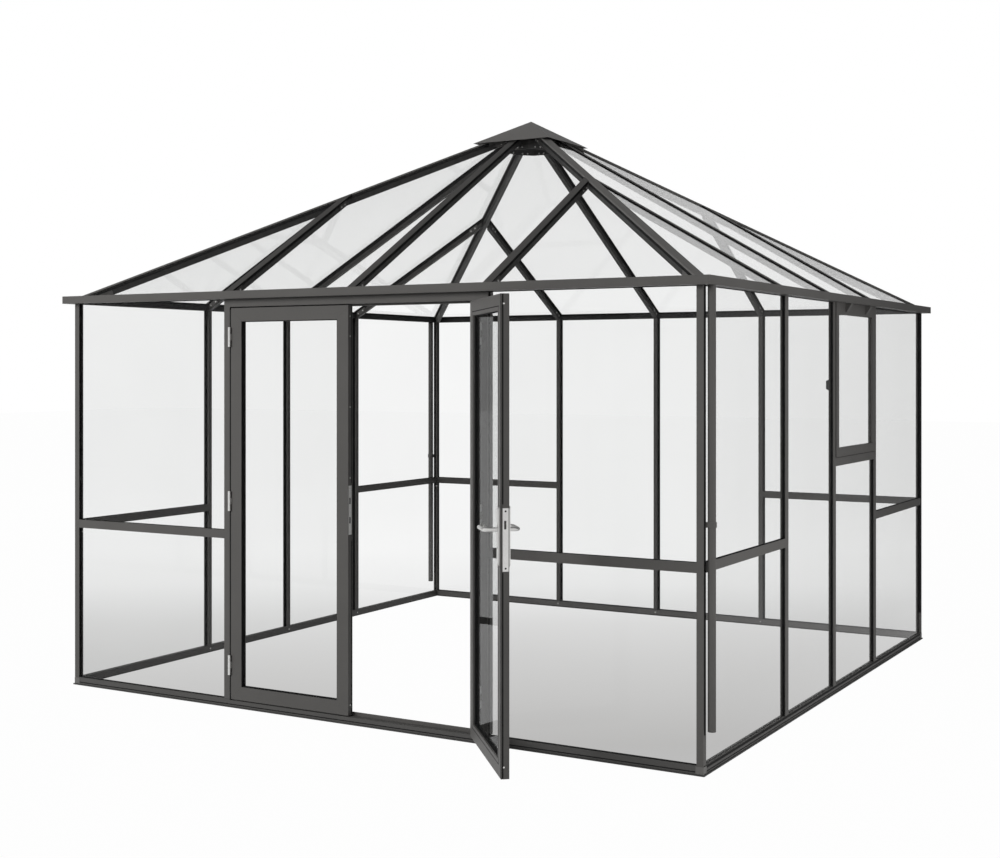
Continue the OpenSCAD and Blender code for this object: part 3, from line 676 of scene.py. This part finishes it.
shadows = Solid()
for z in LOCK_SCREWS_Z:
    shadows.bolt(RIGHT_LEAF, (PLATE_FACE, PLATE_MID, z), (1, 0, 0), 4.4, 3.7)
on_plate(shadows, RIGHT_LEAF, *SLOT)
for v, side in HANDLE_FACES:
    va, vb = sorted((v, v + side * KEYHOLE))
    shadows.box((HANDLE.x - KEYHOLE, va, CYLINDER_Z - KEYHOLE_H / 2),
                (HANDLE.x + KEYHOLE, vb, CYLINDER_Z + KEYHOLE_H / 2), RIGHT_LEAF)
shadows.done("lock_shadows", "right_leaf", SEAL_AND_SHADE)
fixings = Solid()
on_plate(fixings, RIGHT_LEAF, *LATCH)
for v, side in HANDLE_FACES:
    fixings.bolt(RIGHT_LEAF, (HANDLE.x, v - side * 2, CYLINDER_Z), (0, side, 0), 5.3, 2.6)
    for z in HANDLE_SCREWS_Z:
        fixings.bolt(RIGHT_LEAF, (HANDLE.x, v, z), (0, side, 0), 3.2, 0.9)
fixings.done("lock_fixings", "right_leaf", BRIGHT, smooth=True)
shadows = Solid()
for z in STRIKE_HOLES_Z:
    on_plate(shadows, LEFT_LEAF, (9.7, 20.3), (z + 0.2, z + 29.8), 0.8)
for z in STRIKE_SCREWS_Z:
    shadows.bolt(LEFT_LEAF, (PLATE_FACE, PLATE_MID, z), (1, 0, 0), 2.4, 1.4)
shadows.done("strike_shadows", "left_leaf", SEAL_AND_SHADE)


# Brackets and bolts of the frame

SHOE_RUN = (1660.0, 1726.0)  # how far out from the middle a bracket starts and ends
HIP_PLATE_RUN = (786.0, 846.0)
BRACKET_SIDE = 16.5  # outer face of a bracket, from the roof bar's middle
BRACKET_D = (42.0, 14.0)
BRACKET_BOLT_D = 28.0
BRACKET_BOLT_IN = 15
SILL_BOLT_Z = 22
RAIL_BOLT_V, RAIL_BOLT_Z = 24, 800
CROWN_BOLT_X = 15
CROWN_OUTER_Z = HUB_TOP - 74
CROWN_INNER_Z = (HUB_TOP - 76, HUB_TOP - 35)

plates = Solid()
bolts = Solid()
for i in range(4):
    place = wall(i)
    # Shoes of the roof bars on the eave beams, and angle plates where the short bars meet the hips
    for u in BARS:
        for ra, rb in (SHOE_RUN, HIP_PLATE_RUN) if u else (SHOE_RUN,):
            for sx in (-1, 1):
                xa, xb = u + sx * BAR_SIDE, u + sx * BRACKET_SIDE
                slope_slab(plates, i, [(xa, ra), (xb, ra), (xb, rb), (xa, rb)], BRACKET_D)
                for r in (ra + BRACKET_BOLT_IN, rb - BRACKET_BOLT_IN):
                    bolts.bolt(about_z(90 * i), on_slope(xb, r, BRACKET_BOLT_D), (sx, 0, 0))
    # Wall bars screwed to the sills, rails screwed to the posts
    for u in BARS if i else ():
        bolts.bolt(place, (u, WALL_D, SILL_BOLT_Z), (0, 1, 0), 4.2, 3.0)
    for sx in (-1, 1):
        bolts.bolt(place, (sx * INNER, RAIL_BOLT_V, RAIL_BOLT_Z), (-sx, 0, 0), 3.6, 2.5)
# Crown ring, outside and inside
for k in range(8):
    turn = about_z(45 * k)
    for x in (-CROWN_BOLT_X, CROWN_BOLT_X):
        bolts.bolt(turn, (x, -HUB_R, CROWN_OUTER_Z), (0, -1, 0), 5.0, 4.5)
        for z in CROWN_INNER_Z:
            bolts.bolt(turn, (x, HUB_WALL - HUB_R, z), (0, 1, 0), 5.0, 4.5)
plates.done("bar_brackets", "pavilion", GREY, bevel=0.6)
bolts.done("frame_bolts", "pavilion", BRIGHT, smooth=True)


# Sleeves at the feet of the posts, in the lighter copy of the coating (painted light)

SLEEVE_IN = HALF - 34
SLEEVE_OUT = HALF + 1.0
SLEEVE_Z = (6.1, 37)
shoes = Solid()
for sx in (-1, 1):
    for sy in (-1, 1):
        flip = Matrix.Diagonal((sx, sy, 1, 1))
        shoes.box((SLEEVE_IN, HALF + OFF, SLEEVE_Z[0]), (SLEEVE_OUT, SLEEVE_OUT, SLEEVE_Z[1]), flip)
        shoes.box((HALF + OFF, SLEEVE_IN, SLEEVE_Z[0]), (SLEEVE_OUT, HALF + OFF, SLEEVE_Z[1]), flip)
shoes.done("post_shoes", "pavilion", LIT_GREY, bevel=0.4)


# Outlets in the two troughs over the downpipes

OUTLET = (HALF + 22.5, -HALF + 36, EAVE + 3.02)
OUTLET_SIDES = 32
outlets = Solid()
holes = Solid()
for degrees in (0, 180):
    spot = about_z(degrees) @ Matrix.Translation(OUTLET)
    outlets.lathe([(18.5, 0), (18.5, 1.2), (17.0, 1.6), (16.0, 1.6)], spot, OUTLET_SIDES)
    # Black disc down in each outlet: painted shade in the hole
    holes.lathe([(15.4, 0.5), (15.4, 1.75)], spot, OUTLET_SIDES)
outlets.done("trough_outlets", "pavilion", GREY)
holes.done("outlet_shadows", "pavilion", SEAL_AND_SHADE)


# Camera, as the photograph was taken

cam = bpy.data.cameras.new("camera")
cam.lens = 53.0
cam.sensor_width = 36.0
cam.shift_x = -0.0022
cam.shift_y = -0.0598
cam.clip_end = 200.0
eye = bpy.data.objects.new("camera", cam)
eye.location = (4.0222, -7.3340, 1.650)
eye.rotation_euler = (math.radians(90), 0, math.radians(29.869))
bpy.context.scene.collection.objects.link(eye)
bpy.context.scene.camera = eye


# Floor, background and light

# Greys of the studio as reflections see it
DIM = 0.24
PALE = 0.85
OVERHEAD = 0.05
BACKDROP = 0.80
# Strength of the soft light from all round
SOFT = 0.18
# Part of the floor's look that is its own glow where it is seen directly
GLOW = 0.985
# Level direction in which the floor's grey fall runs, the two ends of the fall in metres, and its stops;
# the fall is painted shade, seen only behind glass
FALL_WAY = (-0.498, 0.867, 0.0)
FALL_ENDS = (-7.0, 5.0)
FALL = [(0.0, 1.0), (0.167, 0.96), (0.30, 0.74), (0.39, 0.55), (0.425, (0.54, 0.535, 0.53)),
        (0.508, (0.624, 0.62, 0.616)), (0.583, (0.683, 0.68, 0.677)),
        (0.683, (0.767, 0.765, 0.763)), (0.758, 0.86), (0.827, 0.94), (1.0, 1.0)]
FLOOR_HALF = 40.0
FLOOR_DROP = 0.0005


def seen_directly(tree):
    """One for the camera's, reflected and transmitted rays, nought for light that has been scattered."""
    path = tree.nodes.new("ShaderNodeLightPath")
    a, b, c = (tree.nodes.new("ShaderNodeMath") for _ in range(3))
    a.operation = b.operation = "MAXIMUM"
    c.operation = "SUBTRACT"
    c.use_clamp = True
    tree.links.new(path.outputs["Is Camera Ray"], a.inputs[0])
    tree.links.new(path.outputs["Is Glossy Ray"], a.inputs[1])
    tree.links.new(a.outputs[0], b.inputs[0])
    tree.links.new(path.outputs["Is Transmission Ray"], b.inputs[1])
    tree.links.new(b.outputs[0], c.inputs[0])
    tree.links.new(path.outputs["Diffuse Depth"], c.inputs[1])
    return c.outputs[0], path


def pale_floor():
    """White where it is seen freely, a soft grey fall of painted shade behind glass, and dimmer in
    reflections.
    """
    s = Shader("pale_floor")
    s.bsdf.inputs["Base Color"].default_value = (0.22, 0.22, 0.22, 1)
    s.set(Roughness=0.9, Specular_IOR_Level=0.0)
    seen, path = seen_directly(s.tree)
    spot = s.node("ShaderNodeTexCoord").outputs["Object"]
    split = s.node("ShaderNodeSeparateXYZ")
    s.link(spot, split.inputs["Vector"])
    along = s.node("ShaderNodeVectorMath", operation="DOT_PRODUCT")
    along.inputs[1].default_value = FALL_WAY
    s.link(spot, along.inputs[0])
    fall = s.ramp(s.span(along.outputs["Value"], 0.0, 1.0, FALL_ENDS), FALL)
    behind = blend(s.tree, path.outputs["Is Transmission Ray"], 1.0, fall)
    away = s.node("ShaderNodeVectorMath", operation="LENGTH")
    s.link(spot, away.inputs[0])
    dimmer = s.ramp(s.span(away.outputs["Value"], 0.0, 1.0, (2.5, 12.0)), [(0.0, 0.45), (1.0, DIM)])
    pale = s.ramp(s.span(split.outputs["Y"], 0.0, 1.0, (-2.0, 0.0)), [(0.0, PALE), (1.0, 1.0)])
    aside = times(s.tree, s.span(split.outputs["X"], 0.0, 1.0, (0.5, 2.2)),
                  s.span(split.outputs["Y"], 0.0, 1.0, (-3.0, -1.0)))
    image = blend(s.tree, aside, pale, dimmer)
    glow = s.node("ShaderNodeEmission")
    s.link(blend(s.tree, path.outputs["Glossy Depth"], behind, image), glow.inputs["Color"])
    s.either(times(s.tree, seen, GLOW), glow.outputs[0])
    return s.mat


floor_mesh = bpy.data.meshes.new("floor")
corners = [(FLOOR_HALF * sx, FLOOR_HALF * sy, 0) for sx, sy in ((-1, -1), (1, -1), (1, 1), (-1, 1))]
floor_mesh.from_pydata(corners, [], [(0, 1, 2, 3)])
floor_mesh.materials.append(pale_floor())
floor = bpy.data.objects.new("floor", floor_mesh)
floor.location.z = -FLOOR_DROP
bpy.context.scene.collection.objects.link(floor)

world = bpy.data.worlds.new("studio")
bpy.context.scene.world = world
world.use_nodes = True
wt = world.node_tree
wt.nodes.clear()
seen, path = seen_directly(wt)
soft = wt.nodes.new("ShaderNodeBackground")
soft.inputs["Color"].default_value = (1.0, 1.0, 1.0, 1)
soft.inputs["Strength"].default_value = SOFT
plain = wt.nodes.new("ShaderNodeBackground")
plain.inputs["Strength"].default_value = 1.0
aim = wt.nodes.new("ShaderNodeTexCoord")
split = wt.nodes.new("ShaderNodeSeparateXYZ")
wt.links.new(aim.outputs["Generated"], split.inputs["Vector"])


def fade(axis, dark, bright):
    """Soft step along one axis of the studio, from nought at the dark end to one at the bright end."""
    step = wt.nodes.new("ShaderNodeMapRange")
    step.interpolation_type = "SMOOTHSTEP"
    step.inputs["From Min"].default_value = dark
    step.inputs["From Max"].default_value = bright
    wt.links.new(split.outputs[axis], step.inputs["Value"])
    return step.outputs["Result"]


# White backdrop; in reflections the studio is dark overhead, pale in front and light at the backdrop
backdrop = times(wt, times(wt, fade("Y", 0.35, 0.55), fade("X", 0.16, 0.0)), fade("Z", 0.55, 0.30))
studio = blend(wt, fade("Z", 0.2, 0.5), DIM, OVERHEAD)
studio = blend(wt, fade("Y", 0.0, -0.5), studio, PALE)
studio = blend(wt, backdrop, studio, BACKDROP)
wt.links.new(blend(wt, path.outputs["Glossy Depth"], 1.0, studio), plain.inputs["Color"])
both = wt.nodes.new("ShaderNodeMixShader")
out = wt.nodes.new("ShaderNodeOutputWorld")
wt.links.new(seen, both.inputs["Fac"])
wt.links.new(soft.outputs[0], both.inputs[1])
wt.links.new(plain.outputs[0], both.inputs[2])
wt.links.new(both.outputs[0], out.inputs["Surface"])


def lamp(name, place, target, size, watts):
    """Soft box that lights the pavilion and is itself not seen."""
    data = bpy.data.lights.new(name, "AREA")
    data.shape = "RECTANGLE"
    data.size, data.size_y = size
    data.energy = watts
    obj = bpy.data.objects.new(name, data)
    obj.location = place
    obj.rotation_euler = (Vector(target) - Vector(place)).to_track_quat("-Z", "Y").to_euler()
    obj.visible_camera = False
    obj.visible_glossy = False
    obj.visible_transmission = False
    bpy.context.scene.collection.objects.link(obj)


lamp("key", (-3.5, -10.4, 4.4), (0, 0, 1.2), (6.0, 4.0), 825.0)
lamp("side", (4.2, -1.3, 1.15), (1.76, -1.1, 1.0), (2.2, 1.8), 56.0)
lamp("fill", (-8.0, 9.0, 4.0), (0, 0, 1.2), (6.0, 4.0), 520.0)
lamp("top", (0.5, -0.5, 11.0), (0, 0, 0), (7.0, 7.0), 190.0)

bpy.context.scene.view_settings.view_transform = "Standard"
